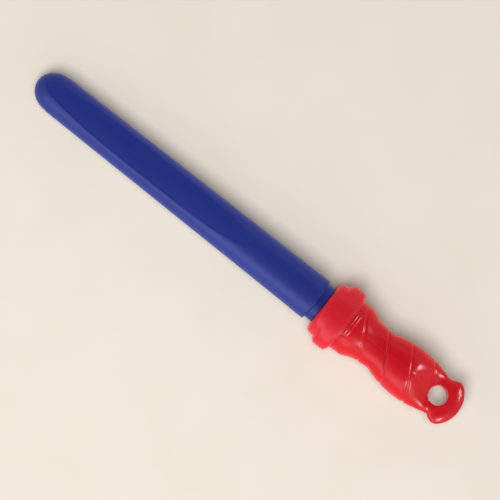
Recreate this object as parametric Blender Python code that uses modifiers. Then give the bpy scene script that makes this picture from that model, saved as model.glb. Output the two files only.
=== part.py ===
"""Screw-top bubble wand in the form of a toy sword.

A blow-moulded blue tube holds the bubble liquid.  A red handle closes it: a screw collar that is also
the guard of the sword, a grip that ends in a flat paddle with a hang hole, and a flat wand inside the
tube that is drawn out with the handle.

The long axis runs along X with the tip at -X.  The paddle lies flat, so its faces look up and down.
Stations are distances from the tip along that axis.
"""
import math

import bmesh
import bpy
from mathutils import Vector

MM = 0.001
GAP = 0.3 * MM
MERGE = 0.00001

# Overall
LENGTH = 380 * MM
AXIS_HEIGHT = 21.7 * MM
TURN_STEPS = 36

# Tube
DOME_LENGTH = 16.3 * MM
DOME_RADIUS = 14.1 * MM
BODY_START = 17.3 * MM
BODY_START_RADIUS = 14.5 * MM
BODY_END = 251.4 * MM
BODY_END_RADIUS = 16.2 * MM
BODY_RINGS = (190 * MM, 110 * MM, 50 * MM)
TUBE_WALL = 1.2 * MM
BAND_START = 238.7 * MM
BAND_RISE = 0.2 * MM
NECK_START = 252.0 * MM
NECK_RADIUS = 14.3 * MM
NECK_STEP = 257.6 * MM
THREAD_ROOT = 13.8 * MM
MOUTH = 272.6 * MM
MOUTH_BORE = 12.2 * MM
EDGE = 0.4 * MM
DOME_STEPS = 9

# Leaf-shaped panels pressed into the tube, one above and one below
LEAF_START = 8.0 * MM
LEAF_WIDEST = 110.0 * MM
LEAF_END = 190.0 * MM
LEAF_HALF_WIDTH = 9.2 * MM
LEAF_STEP = 0.4 * MM
LEAF_CROWN_RADIUS = 35.0 * MM
LEAF_POINTS = 17
LEAF_BLOCK_HEIGHT = 15 * MM
LEAF_BLOCK_THICKNESS = 16 * MM
LEAF_LEAD_IN = 30 * MM
LEAF_LEAD_IN_ANGLE = math.radians(35)

# Screw threads: round ribs that clear each other, so the handle can also be drawn straight out
THREAD_PITCH = 4.0 * MM
THREAD_RIB = 0.5 * MM
THREAD_SINK = 0.1 * MM
NECK_THREAD_START = 261.0 * MM
NECK_THREAD_TURNS = 1.75
COLLAR_THREAD_START = 263.0 * MM
COLLAR_THREAD_TURNS = 1.5

# Screw collar
COLLAR_START = 257.9 * MM
COLLAR_END = 279.2 * MM
COLLAR_LIP_END = 259.4 * MM
COLLAR_LIP_BORE = 14.7 * MM
COLLAR_BORE = 15.3 * MM
WEB_START = 274.7 * MM
WEB_END = 277.2 * MM
BOSS_START = 268.0 * MM
BOSS_RADIUS = 7.5 * MM
SPIGOT_RADIUS = 17.8 * MM
SPIGOT_BORE = 15.6 * MM
SPIGOT_END = 287.0 * MM
# Station, radius and how far the guard stands out sideways, all in millimetres
COLLAR_SECTIONS = (
    (257.9, 17.0, 0.0),
    (258.7, 19.1, 0.0),
    (260.1, 20.6, 0.0),
    (262.2, 21.3, 0.0),
    (264.8, 21.6, 0.1),
    (266.2, 21.7, 2.1),
    (267.8, 21.7, 3.5),
    (270.0, 21.7, 3.6),
    (274.6, 21.5, 3.8),
    (276.8, 21.2, 3.5),
    (278.3, 20.8, 2.0),
    (279.2, 20.4, 0.2),
)
GUARD_SHARPNESS = 4

# Seal washer
SEAL_START = MOUTH + GAP
SEAL_END = WEB_START - GAP
SEAL_RADIUS = 14.9 * MM
SEAL_BORE = 10.9 * MM

# Grip
GRIP_START = COLLAR_END + GAP
GRIP_SKIRT_BORE = SPIGOT_RADIUS + GAP
GRIP_WALL = 1.8 * MM
GRIP_RING_SPACING = 4.5 * MM
CAVITY_START = SPIGOT_END + 1.5 * MM
CAVITY_RINGS = 12
CAVITY_END = 345.0 * MM
BELLY_END = 339.0 * MM
PADDLE_START = 356.0 * MM
PADDLE_END = 375.1 * MM
PADDLE_TIP_ROUND = 0.96
PADDLE_HALF_THICKNESS = 5.2 * MM
PADDLE_EDGE = 5.6 * MM
HANG_HOLE_STATION = 361.1 * MM
HANG_HOLE_RADIUS = 7.2 * MM
# Station and half width of the grip's outline, in millimetres
GRIP_OUTLINE = (
    (279.5, 19.8),
    (283.6, 20.0),
    (288.2, 20.1),
    (291.6, 18.6),
    (296.9, 16.6),
    (303.0, 15.9),
    (309.6, 15.4),
    (315.4, 17.0),
    (323.9, 18.9),
    (335.3, 19.7),
    (346.6, 18.7),
    (355.2, 16.7),
    (361.5, 15.3),
    (365.2, 16.5),
    (368.9, 17.7),
    (372.2, 16.7),
    (375.1, 14.0),
    (377.9, 9.6),
    (379.4, 5.2),
    (380.0, 1.2),
)

# Finger grooves: rings round the grip, each in a plane slanted towards the paddle on the -Y side
GROOVE_COUNT = 3
GROOVE_FIRST = 292.4 * MM
GROOVE_SPACING = 20.75 * MM
GROOVE_SLANT = 0.53
GROOVE_TOOL_RADIUS = 1.3 * MM
GROOVE_DEPTH = 0.6 * MM
GROOVE_SEARCH_STEPS = 12

# Bubble wand
WAND_START = 19.0 * MM
WAND_HALF_WIDTH = 10.0 * MM
WAND_THICKNESS = 2.6 * MM
WAND_SHOULDER = 243.0 * MM
WAND_SHOULDER_LENGTH = 6.0 * MM
WAND_STEM_HALF_WIDTH = 6.0 * MM
WAND_END = 275.9 * MM
WAND_END_POINTS = 12
WINDOW_COUNT = 8
WINDOW_PITCH = 27.2 * MM
WINDOW_HALF_LENGTH = 12.2 * MM
WINDOW_HALF_WIDTH = 7.2 * MM
WINDOW_FIRST = 35.0 * MM
WINDOW_POINTS = 20
WINDOW_POWER = 0.7
SOCKET_END = WAND_END + GAP

# How far a cutter runs past what it cuts
OVERRUN = 2 * MM

# Colours: red, green, blue as display values, then roughness
BLUE = ((56, 66, 158), 0.38)
RED = ((206, 28, 38), 0.3)
CREAM = ((226, 222, 208), 0.7)


def clear_scene():
    for thing in list(bpy.data.objects):
        bpy.data.objects.remove(thing, do_unlink=True)


def new_collection(name):
    collection = bpy.data.collections.new(name)
    bpy.context.scene.collection.children.link(collection)
    return collection


def linear(value):
    """Turn a 0-255 display value into a linear one."""
    share = value / 255
    if share <= 0.04045:
        return share / 12.92
    return ((share + 0.055) / 1.055) ** 2.4


def plastic(name, colour, roughness):
    material = bpy.data.materials.new(name)
    material.use_nodes = True
    shader = material.node_tree.nodes["Principled BSDF"]
    shader.inputs["Base Color"].default_value = [linear(value) for value in colour] + [1]
    shader.inputs["Roughness"].default_value = roughness
    shader.inputs["Metallic"].default_value = 0
    return material


def place(thing, collection, empty):
    collection.objects.link(thing)
    thing.parent = empty
    if collection.name == "cutters":
        thing.hide_render = True
        thing.display_type = "WIRE"
    return thing


def smooth(points, station):
    """Height of a smooth curve through (station, height) points."""
    stations = [point[0] for point in points]
    heights = [point[1] for point in points]
    index = 0
    while index < len(points) - 2 and station > stations[index + 1]:
        index += 1

    def slope(at):
        before = max(at - 1, 0)
        after = min(at + 1, len(points) - 1)
        return (heights[after] - heights[before]) / (stations[after] - stations[before])

    span = stations[index + 1] - stations[index]
    t = min(max((station - stations[index]) / span, 0), 1)
    start = heights[index] * (2 * t**3 - 3 * t**2 + 1) + slope(index) * span * (t**3 - 2 * t**2 + t)
    end = heights[index + 1] * (3 * t**2 - 2 * t**3) + slope(index + 1) * span * (t**3 - t**2)
    return start + end


def ease(value):
    """Smooth step from 0 to 1."""
    t = min(max(value, 0), 1)
    return t * t * (3 - 2 * t)


def turned(name, profile, collection, empty, steps=TURN_STEPS):
    """Turn (radius, station) points about the long axis.  The outer side runs towards the tip."""
    mesh = bpy.data.meshes.new(name)
    points = [(radius, 0, station) for radius, station in profile]
    edges = [(index, index + 1) for index in range(len(points) - 1)]
    mesh.from_pydata(points, edges, [])
    thing = place(bpy.data.objects.new(name, mesh), collection, empty)
    thing.rotation_euler = (0, math.pi / 2, 0)
    screw = thing.modifiers.new("turn", "SCREW")
    screw.axis = "Z"
    screw.steps = steps
    screw.render_steps = steps
    screw.use_merge_vertices = True
    screw.merge_threshold = MERGE
    return thing


def lofted(name, rings, collection, empty):
    """Skin closed rings of points, listed from the tip side to the tail side."""
    mesh = bpy.data.meshes.new(name)
    work = bmesh.new()
    skins = [[work.verts.new(point) for point in ring] for ring in rings]
    for near, far in zip(skins, skins[1:]):
        for index in range(len(near)):
            after = (index + 1) % len(near)
            work.faces.new((near[index], near[after], far[after], far[index]))
    work.faces.new(list(reversed(skins[0])))
    work.faces.new(skins[-1])
    bmesh.ops.recalc_face_normals(work, faces=work.faces)
    work.to_mesh(mesh)
    work.free()
    return place(bpy.data.objects.new(name, mesh), collection, empty)


def as_mesh(curve_object):
    """Replace a curve object with its mesh, so that it can take part in a Boolean."""
    bpy.context.view_layer.update()
    graph = bpy.context.evaluated_depsgraph_get()
    mesh = bpy.data.meshes.new_from_object(curve_object.evaluated_get(graph))
    work = bmesh.new()
    work.from_mesh(mesh)
    bmesh.ops.remove_doubles(work, verts=work.verts, dist=MERGE)
    bmesh.ops.recalc_face_normals(work, faces=work.faces)
    work.to_mesh(mesh)
    work.free()
    name = curve_object.name
    collection = curve_object.users_collection[0]
    empty = curve_object.parent
    bpy.data.objects.remove(curve_object, do_unlink=True)
    return place(bpy.data.objects.new(name, mesh), collection, empty)


def rod(name, points, radius, collection, empty, resolution=2, closed=False):
    """A round rod along a list of points, or a ring if it is closed."""
    curve = bpy.data.curves.new(name, "CURVE")
    curve.dimensions = "3D"
    curve.bevel_depth = radius
    curve.bevel_resolution = resolution
    curve.use_fill_caps = True
    spline = curve.splines.new("POLY")
    spline.points.add(len(points) - 1)
    for target, point in zip(spline.points, points):
        target.co = (*point, 1)
    spline.use_cyclic_u = closed
    return as_mesh(place(bpy.data.objects.new(name, curve), collection, empty))


def plate(name, outlines, thickness, collection, empty):
    """A flat plate in the XY plane with the first outline as its edge and the others as holes."""
    curve = bpy.data.curves.new(name, "CURVE")
    curve.dimensions = "2D"
    curve.fill_mode = "BOTH"
    curve.extrude = thickness / 2
    for outline in outlines:
        spline = curve.splines.new("POLY")
        spline.points.add(len(outline) - 1)
        for target, point in zip(spline.points, outline):
            target.co = (point[0], point[1], 0, 1)
        spline.use_cyclic_u = True
    return as_mesh(place(bpy.data.objects.new(name, curve), collection, empty))


def adopt_primitive(name, collection, empty):
    """Take the primitive just added into a collection of this model."""
    thing = bpy.context.object
    thing.name = name
    for old_collection in list(thing.users_collection):
        old_collection.objects.unlink(thing)
    return place(thing, collection, empty)


def combine(thing, operation, other):
    step = thing.modifiers.new(operation.lower() + "_" + other.name, "BOOLEAN")
    step.operation = operation
    step.object = other
    step.solver = "EXACT"


def finish(thing, material):
    """Give a part its material and smooth shading with sharp corners kept."""
    thing.data.materials.append(material)
    thing.data.shade_smooth()
    thing.data.set_sharp_from_angle(angle=math.radians(35))


def helix(radius, start, turns, steps):
    """Points of a right-handed helix about the long axis, in the part's own axes."""
    points = []
    for index in range(round(turns * steps) + 1):
        angle = 2 * math.pi * index / steps
        station = start + THREAD_PITCH * index / steps
        points.append(Vector((station, radius * math.cos(angle), radius * math.sin(angle))))
    return points


# Tube

def body_radius(station):
    """Outer radius of the plain tube."""
    if station < DOME_LENGTH:
        across = (DOME_LENGTH - station) / DOME_LENGTH
        return DOME_RADIUS * math.sqrt(max(1 - across * across, 0))
    share = (station - BODY_START) / (BODY_END - BODY_START)
    return BODY_START_RADIUS + (BODY_END_RADIUS - BODY_START_RADIUS) * max(share, 0)


def dome(inset):
    """Quarter ellipse from the dome's base to its tip, moved in by an inset."""
    points = []
    for index in range(DOME_STEPS):
        angle = math.pi / 2 * index / DOME_STEPS
        radius = (DOME_RADIUS - inset) * math.cos(angle)
        points.append((radius, DOME_LENGTH - (DOME_LENGTH - inset) * math.sin(angle)))
    points.append((0, inset))
    return points


def leaf_half_width(station, grow=0):
    if station < LEAF_WIDEST:
        across = (LEAF_WIDEST - station) / (LEAF_WIDEST - LEAF_START + grow)
    else:
        across = (station - LEAF_WIDEST) / (LEAF_END - LEAF_WIDEST + grow)
    return (LEAF_HALF_WIDTH + grow) * math.sqrt(max(1 - across**3, 0))


def leaf_floor(station):
    """Height of the panel's crown above the long axis."""
    radius = body_radius(station)
    width = leaf_half_width(station)
    body_drop = radius - math.sqrt(radius * radius - width * width)
    floor_drop = LEAF_CROWN_RADIUS - math.sqrt(LEAF_CROWN_RADIUS**2 - width * width)
    return radius - LEAF_STEP - body_drop + floor_drop


def leaf_cutter(name, lower, grow, collection, empty):
    """The space above a panel and its mirror image below.  lower and grow offset it inwards."""
    first = LEAF_START - grow
    last = LEAF_END + grow
    side = []
    for index in range(1, LEAF_POINTS):
        share = (1 - math.cos(math.pi * index / LEAF_POINTS)) / 2
        station = first + (last - first) * share
        side.append((station, leaf_half_width(station, grow)))
    outline = [(first, 0)] + side + [(last, 0)] + [(station, -width) for station, width in reversed(side)]
    cutter = plate(name, [outline], LEAF_BLOCK_THICKNESS, collection, empty)
    cutter.location.z = LEAF_BLOCK_HEIGHT
    path = []
    for index in range(LEAF_POINTS + 1):
        station = LEAF_START + (LEAF_END - LEAF_START) * (1 - math.cos(math.pi * index / LEAF_POINTS)) / 2
        path.append(Vector((station, 0, leaf_floor(station) - lower - LEAF_CROWN_RADIUS)))
    path.insert(0, path[0] - LEAF_LEAD_IN * Vector((1, 0, math.tan(LEAF_LEAD_IN_ANGLE))))
    path.append(path[-1] + LEAF_LEAD_IN * Vector((1, 0, 0)))
    floor = rod(name + "_floor", path, LEAF_CROWN_RADIUS, collection, empty, resolution=12)
    combine(cutter, "DIFFERENCE", floor)
    mirror = cutter.modifiers.new("below", "MIRROR")
    mirror.use_axis = (False, False, True)
    mirror.mirror_object = empty
    mirror.use_mirror_merge = False
    return cutter


def make_tube(parts, cutters, empty):
    band_start = BAND_START + BAND_RISE
    outer = [
        (0, MOUTH),
        (THREAD_ROOT - EDGE, MOUTH),
        (THREAD_ROOT, MOUTH - EDGE),
        (THREAD_ROOT, NECK_STEP + EDGE),
        (NECK_RADIUS, NECK_STEP),
        (NECK_RADIUS, NECK_START + EDGE),
        (NECK_RADIUS + EDGE, NECK_START),
        (BODY_END_RADIUS - EDGE, BODY_END + EDGE),
        (BODY_END_RADIUS + BAND_RISE, BODY_END - EDGE),
        (body_radius(band_start) + BAND_RISE, band_start),
        (body_radius(BAND_START), BAND_START),
    ]
    outer += [(body_radius(station), station) for station in BODY_RINGS]
    outer += [(BODY_START_RADIUS, BODY_START)]
    outer += dome(0)
    tube = turned("tube", outer, parts, empty)

    hollow = [
        (0, MOUTH + OVERRUN),
        (MOUTH_BORE, MOUTH + OVERRUN),
        (MOUTH_BORE, NECK_START + TUBE_WALL),
        (BODY_END_RADIUS - TUBE_WALL, BODY_END - TUBE_WALL),
        (BODY_START_RADIUS - TUBE_WALL, BODY_START),
    ]
    cavity = turned("tube_cavity", hollow + dome(TUBE_WALL), cutters, empty)

    outer_leaf = leaf_cutter("leaf_outside", 0, 0, cutters, empty)
    inner_leaf = leaf_cutter("leaf_inside", TUBE_WALL, TUBE_WALL, cutters, empty)
    points = helix(THREAD_ROOT, NECK_THREAD_START, NECK_THREAD_TURNS, TURN_STEPS)
    rib = rod("neck_thread", points, THREAD_RIB, cutters, empty)

    combine(cavity, "DIFFERENCE", inner_leaf)
    combine(tube, "DIFFERENCE", outer_leaf)
    combine(tube, "UNION", rib)
    combine(tube, "DIFFERENCE", cavity)
    return tube


# Screw collar and seal

def collar_ring(station, radius, guard):
    ring = []
    for index in range(TURN_STEPS):
        angle = 2 * math.pi * index / TURN_STEPS
        reach = radius + guard * abs(math.cos(angle)) ** GUARD_SHARPNESS
        ring.append((station, reach * math.cos(angle), reach * math.sin(angle)))
    return ring


def make_collar(parts, cutters, empty):
    rings = [collar_ring(*[value * MM for value in section]) for section in COLLAR_SECTIONS]
    collar = lofted("screw_collar", rings, parts, empty)
    spigot_profile = [
        (0, SPIGOT_END),
        (SPIGOT_RADIUS - EDGE, SPIGOT_END),
        (SPIGOT_RADIUS, SPIGOT_END - EDGE),
        (SPIGOT_RADIUS, WEB_START - OVERRUN),
        (0, WEB_START - OVERRUN),
    ]
    spigot = turned("collar_spigot", spigot_profile, cutters, empty)
    well_profile = [
        (0, SPIGOT_END + OVERRUN),
        (SPIGOT_BORE, SPIGOT_END + OVERRUN),
        (SPIGOT_BORE, WEB_END),
        (0, WEB_END),
    ]
    well = turned("collar_well", well_profile, cutters, empty)
    bore_profile = [
        (0, BOSS_START),
        (BOSS_RADIUS, BOSS_START),
        (BOSS_RADIUS, WEB_START),
        (COLLAR_BORE, WEB_START),
        (COLLAR_BORE, COLLAR_LIP_END),
        (COLLAR_LIP_BORE, COLLAR_LIP_END - EDGE),
        (COLLAR_LIP_BORE, COLLAR_START - OVERRUN),
        (0, COLLAR_START - OVERRUN),
    ]
    bore = turned("collar_bore", bore_profile, cutters, empty)
    bpy.ops.mesh.primitive_cube_add(size=1)
    socket = adopt_primitive("wand_socket", cutters, empty)
    socket_start = BOSS_START - OVERRUN
    socket.scale = (
        SOCKET_END - socket_start,
        2 * (WAND_STEM_HALF_WIDTH + GAP),
        WAND_THICKNESS + 2 * GAP,
    )
    socket.location = ((SOCKET_END + socket_start) / 2, 0, 0)
    points = helix(COLLAR_BORE - THREAD_SINK, COLLAR_THREAD_START, COLLAR_THREAD_TURNS, TURN_STEPS)
    rib = rod("collar_thread", points, THREAD_RIB, cutters, empty)
    combine(collar, "UNION", spigot)
    combine(collar, "DIFFERENCE", bore)
    combine(collar, "DIFFERENCE", well)
    combine(collar, "DIFFERENCE", socket)
    combine(collar, "UNION", rib)
    return collar


def make_seal(parts, empty):
    profile = [
        (SEAL_BORE, SEAL_START),
        (SEAL_BORE, SEAL_END),
        (SEAL_RADIUS, SEAL_END),
        (SEAL_RADIUS, SEAL_START),
        (SEAL_BORE, SEAL_START),
    ]
    return turned("seal_washer", profile, parts, empty)


# Grip

def grip_half_width(station):
    return smooth(GRIP_OUTLINE, station / MM) * MM


def grip_point(station, angle, inset=0):
    """A point of the grip's skin: round at the belly, flat with rounded edges at the paddle."""
    width = grip_half_width(station)
    flatness = ease((station - BELLY_END) / (PADDLE_START - BELLY_END))
    height = width + (PADDLE_HALF_THICKNESS - width) * flatness
    edge = width + (PADDLE_EDGE - width) * flatness
    if station > PADDLE_END:
        across = (station - PADDLE_END) / (LENGTH - PADDLE_END)
        height *= math.sqrt(1 - PADDLE_TIP_ROUND * across * across)
        edge = min(edge, 0.9 * width)
    # Angle from the nearer side, a quarter turn at most.  The last step of it spans the flat.
    side = math.pi / 2 - abs(math.pi / 2 - math.acos(math.cos(angle)))
    flat_span = 2 * math.pi / TURN_STEPS
    flat_share = min((math.pi / 2 - side) / flat_span, 1)
    edge_angle = min(side * (1 + flatness * flat_span / (math.pi / 2 - flat_span)), math.pi / 2)
    reach = (width - edge) * flat_share + (edge - inset) * math.cos(edge_angle)
    rise = (height - inset) * math.sin(edge_angle)
    return Vector((station, math.copysign(reach, math.cos(angle)), math.copysign(rise, math.sin(angle))))


def grip_ring(station, inset=0):
    return [grip_point(station, 2 * math.pi * index / TURN_STEPS, inset) for index in range(TURN_STEPS)]


def grip_stations():
    """Stations of the rings: finer where the outline turns quickly."""
    marks = [point[0] * MM for point in GRIP_OUTLINE]
    stations = [marks[0]]
    for near, far in zip(marks, marks[1:]):
        count = max(1, round((far - near) / GRIP_RING_SPACING))
        stations += [near + (far - near) * index / count for index in range(1, count + 1)]
    return stations


def groove_path(middle):
    """Centre line of one groove's round cutter, just outside the skin and in its slanted plane."""
    points = []
    for index in range(2 * TURN_STEPS):
        angle = math.pi * index / TURN_STEPS
        point = grip_point(middle, angle, GROOVE_DEPTH - GROOVE_TOOL_RADIUS)
        for _ in range(GROOVE_SEARCH_STEPS):
            point = grip_point(middle - GROOVE_SLANT * point.y, angle, GROOVE_DEPTH - GROOVE_TOOL_RADIUS)
        points.append(point)
    return points


def make_grip(parts, cutters, empty):
    grip = lofted("grip_shell", [grip_ring(station) for station in grip_stations()], parts, empty)

    spread = (CAVITY_END - CAVITY_START) / CAVITY_RINGS
    rings = [grip_ring(CAVITY_START + spread * index, GRIP_WALL) for index in range(CAVITY_RINGS + 1)]
    cavity = lofted("grip_cavity", rings, cutters, empty)
    skirt_profile = [
        (0, SPIGOT_END + GAP),
        (GRIP_SKIRT_BORE, SPIGOT_END + GAP),
        (GRIP_SKIRT_BORE, GRIP_START - OVERRUN),
        (0, GRIP_START - OVERRUN),
    ]
    skirt = turned("grip_skirt_bore", skirt_profile, cutters, empty)
    throat_profile = [
        (0, CAVITY_START + OVERRUN),
        (SPIGOT_BORE, CAVITY_START + OVERRUN),
        (SPIGOT_BORE, SPIGOT_END - OVERRUN),
        (0, SPIGOT_END - OVERRUN),
    ]
    throat = turned("grip_throat", throat_profile, cutters, empty)
    bpy.ops.mesh.primitive_cylinder_add(vertices=TURN_STEPS, radius=HANG_HOLE_RADIUS, depth=LENGTH / 10)
    hole = adopt_primitive("hang_hole", cutters, empty)
    hole.location = (HANG_HOLE_STATION, 0, 0)

    for index in range(GROOVE_COUNT):
        path = groove_path(GROOVE_FIRST + GROOVE_SPACING * index)
        name = "groove_%d" % (index + 1)
        combine(grip, "DIFFERENCE", rod(name, path, GROOVE_TOOL_RADIUS, cutters, empty, closed=True))
    combine(grip, "DIFFERENCE", skirt)
    combine(grip, "DIFFERENCE", throat)
    combine(grip, "DIFFERENCE", cavity)
    combine(grip, "DIFFERENCE", hole)
    return grip


# Bubble wand

def window(centre):
    """Rounded window of the wand: a superellipse."""
    outline = []
    for index in range(WINDOW_POINTS):
        angle = 2 * math.pi * index / WINDOW_POINTS
        along = math.copysign(abs(math.cos(angle)) ** WINDOW_POWER, math.cos(angle))
        across = math.copysign(abs(math.sin(angle)) ** WINDOW_POWER, math.sin(angle))
        outline.append((centre + WINDOW_HALF_LENGTH * along, WINDOW_HALF_WIDTH * across))
    return outline


def make_wand(parts, empty):
    round_end = []
    for index in range(WAND_END_POINTS + 1):
        angle = math.pi / 2 + math.pi * index / WAND_END_POINTS
        along = WAND_START + WAND_HALF_WIDTH * (1 + math.cos(angle))
        round_end.append((along, WAND_HALF_WIDTH * math.sin(angle)))
    shoulder_end = WAND_SHOULDER + WAND_SHOULDER_LENGTH
    outline = round_end + [
        (WAND_SHOULDER, -WAND_HALF_WIDTH),
        (shoulder_end, -WAND_STEM_HALF_WIDTH),
        (WAND_END, -WAND_STEM_HALF_WIDTH),
        (WAND_END, WAND_STEM_HALF_WIDTH),
        (shoulder_end, WAND_STEM_HALF_WIDTH),
        (WAND_SHOULDER, WAND_HALF_WIDTH),
    ]
    windows = [window(WINDOW_FIRST + WINDOW_PITCH * index) for index in range(WINDOW_COUNT)]
    return plate("bubble_wand", [outline] + windows, WAND_THICKNESS, parts, empty)


def main():
    clear_scene()
    parts = new_collection("bubble_sword")
    cutters = new_collection("cutters")
    empty = bpy.data.objects.new("long_axis", None)
    empty.location = (-LENGTH / 2, 0, AXIS_HEIGHT)
    parts.objects.link(empty)
    bpy.context.view_layer.update()
    blue = plastic("blue_plastic", *BLUE)
    red = plastic("red_plastic", *RED)
    cream = plastic("seal_foam", *CREAM)
    finish(make_tube(parts, cutters, empty), blue)
    finish(make_collar(parts, cutters, empty), red)
    finish(make_grip(parts, cutters, empty), red)
    finish(make_seal(parts, empty), cream)
    finish(make_wand(parts, empty), red)


main()
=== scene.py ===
"""Looks of the screw-top bubble wand: fine meshes, procedural plastics, a plain studio and a camera.

Stations are distances from the tube's tip along the long axis, which runs along X.
Angles go round that axis from +Y over the top (+Z) to -Y.
"""
import math

import bmesh
import bpy
import numpy as np
from mathutils import Matrix, Vector


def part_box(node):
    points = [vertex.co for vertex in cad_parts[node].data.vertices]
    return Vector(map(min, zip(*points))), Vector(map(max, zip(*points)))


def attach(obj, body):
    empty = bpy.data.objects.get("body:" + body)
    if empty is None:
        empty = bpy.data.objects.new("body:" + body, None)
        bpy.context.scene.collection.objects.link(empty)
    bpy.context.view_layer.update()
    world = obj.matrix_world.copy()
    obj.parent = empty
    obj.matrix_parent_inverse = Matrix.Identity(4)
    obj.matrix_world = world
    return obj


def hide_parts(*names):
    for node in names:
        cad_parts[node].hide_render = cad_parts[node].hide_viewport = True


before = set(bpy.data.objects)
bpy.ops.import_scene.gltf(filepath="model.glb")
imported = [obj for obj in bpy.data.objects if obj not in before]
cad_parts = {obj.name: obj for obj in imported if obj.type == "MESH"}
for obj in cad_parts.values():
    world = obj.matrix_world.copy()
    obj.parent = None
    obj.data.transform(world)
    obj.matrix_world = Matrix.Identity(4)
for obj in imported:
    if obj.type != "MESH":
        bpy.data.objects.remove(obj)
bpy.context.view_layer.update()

MM = 0.001

# Places and sizes read from the frame
TUBE_LOW, TUBE_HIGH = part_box("tube")
COLLAR_LOW, COLLAR_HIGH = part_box("screw_collar")
GRIP_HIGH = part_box("grip_shell")[1]
SEAL_LOW, SEAL_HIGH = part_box("seal_washer")
WAND_LOW, WAND_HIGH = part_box("bubble_wand")
TIP = TUBE_LOW.x
AXIS_Z = (TUBE_LOW.z + TUBE_HIGH.z) / 2
LENGTH = GRIP_HIGH.x - TIP
MOUTH = TUBE_HIGH.x - TIP
COLLAR_START = COLLAR_LOW.x - TIP
SPIGOT_END = COLLAR_HIGH.x - TIP

# Meshes: weld distance, radius of a ring next to a pole, and numbers of points and steps
WELD_DISTANCE = 0.001 * MM
POLE_RADIUS = 0.5 * MM
AROUND = 240
SEAL_AROUND = 120
HOLE_AROUND = 96
WINDOW_AROUND = 72
WAND_END_STEPS = 36
HOLE_FILLET_STEPS = 5
BLEND_STEPS = 8

# Tube
DOME_LENGTH = 16.3 * MM
DOME_RADIUS = 14.1 * MM
BODY_START = 18.3 * MM
BODY_START_RADIUS = 14.5 * MM
BODY_END = 251.6 * MM
BODY_END_RADIUS = 16.2 * MM
TUBE_WALL = 1.2 * MM
BAND_START = 238.7 * MM
BAND_SLOPE = 0.7 * MM
BAND_RISE = 0.13 * MM
NECK_RADIUS = 14.3 * MM
NECK_STEP = 257.6 * MM
NECK_STEP_LENGTH = 0.4 * MM
THREAD_ROOT = 13.8 * MM
MOUTH_BORE = 12.2 * MM
INNER_SLOPE = 1.6 * MM
NECK_FILLET = 0.6 * MM
MOUTH_EDGE = 0.5 * MM
SEAM_RISE = 0.1 * MM
SEAM_HALF_WIDTH = 0.9 * MM
SEAM_START = 2 * MM
SEAM_CLEAR_OF_SHOULDER = 0.4 * MM

# The tube's rings: how many in the dome, where they start and stop, and their distances
DOME_RINGS = 45
INNER_DOME_RINGS = 23
BODY_RINGS_AFTER_START = 0.6 * MM
BODY_RINGS_BEFORE_END = 0.8 * MM
BORE_RINGS_AFTER_MOUTH = 0.6 * MM
BAND_EDGE_LENGTH = 0.8 * MM
LEAF_RING_STEP = 0.8 * MM
LEAF_END_RING_STEP = 0.25 * MM
PLAIN_RING_STEP = 0.9 * MM
BAND_EDGE_RING_STEP = 0.1 * MM
BAND_RING_STEP = 0.6 * MM
THREAD_RING_STEP = 0.18 * MM
INSIDE_RING_STEP = 2 * MM

# Leaf-shaped panels pressed into the tube
LEAF_START = 8.0 * MM
LEAF_WIDEST = 110.0 * MM
LEAF_END = 190.0 * MM
LEAF_HALF_WIDTH = 9.2 * MM
LEAF_STEP = 0.4 * MM
LEAF_CROWN_RADIUS = 28.0 * MM
LEAF_WALL = 1.0 * MM
LEAF_END_BEFORE = 8 * MM
LEAF_END_AFTER = 2 * MM

# Exponent of the leaf's outline, its widest share of the tube's radius, and how high it has to lie
LEAF_POWER = 3
LEAF_WIDTH_LIMIT = 0.98
LEAF_LEAST_SINE = 0.3

# How the angles round the tube bunch up: across the panel, over its outline and down the flank
PANEL_ANGLES = 12
OUTLINE_ANGLES = 10
FLANK_ANGLES = 16
OUTLINE_HALF_WIDTH = 1.4 * MM
OUTLINE_WIDEST = math.radians(4.5)
OUTLINE_LEAST_ANGLE = math.radians(5)
OUTLINE_LARGEST_SINE = 0.9

# Threads
THREAD_PITCH = 4.0 * MM
THREAD_RISE = 0.5 * MM
THREAD_HALF_WIDTH = 0.9 * MM
THREAD_FADE = 1.5 * MM
NECK_THREAD = (261.0 * MM, 268.0 * MM)
COLLAR_THREAD = (263.0 * MM, 269.0 * MM)

# Collar: station, radius and how far the guard stands out sideways, in millimetres
COLLAR_OUTLINE = (
    (257.9, 15.6, 0.0),
    (257.9, 16.6, 0.0),
    (258.2, 18.2, 0.0),
    (259.0, 19.7, 0.0),
    (260.2, 20.7, 0.0),
    (262.0, 21.3, 0.0),
    (264.0, 21.6, 0.0),
    (265.0, 21.7, 0.2),
    (266.2, 21.7, 1.7),
    (267.3, 21.7, 3.1),
    (268.6, 21.7, 3.55),
    (271.5, 21.7, 3.6),
    (274.6, 21.5, 3.8),
    (276.4, 21.3, 3.7),
    (277.6, 21.0, 2.9),
    (278.7, 20.8, 1.2),
    (279.2, 20.5, 0.1),
    (279.2, 19.0, 0.0),
    (279.2, 18.2, 0.0),
)
COLLAR_STEP = 0.22
GUARD_SHARPNESS = 4
COLLAR_EDGE = 0.4 * MM
COLLAR_LIP = 14.7 * MM
COLLAR_LIP_LENGTH = 1.4 * MM
COLLAR_BORE = 15.3 * MM
COLLAR_BORE_DEPTH = 2 * MM
WEB_START = 274.7 * MM
WEB_END = 277.2 * MM
BOSS_START = 268.0 * MM
BOSS_RADIUS = 7.5 * MM
BOSS_EDGE = 0.6 * MM
BOSS_STRAIGHT = 1 * MM
SPIGOT_RADIUS = 17.8 * MM
SPIGOT_BORE = 15.6 * MM
SPIGOT_EDGE = 0.5 * MM
SOCKET_END = 276.2 * MM
SOCKET_GAP = 0.3 * MM
CUTTER_MARGIN = 1 * MM

# Seal
SEAL_BORE = 10.9 * MM
SEAL_EDGE = 0.35 * MM

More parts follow.
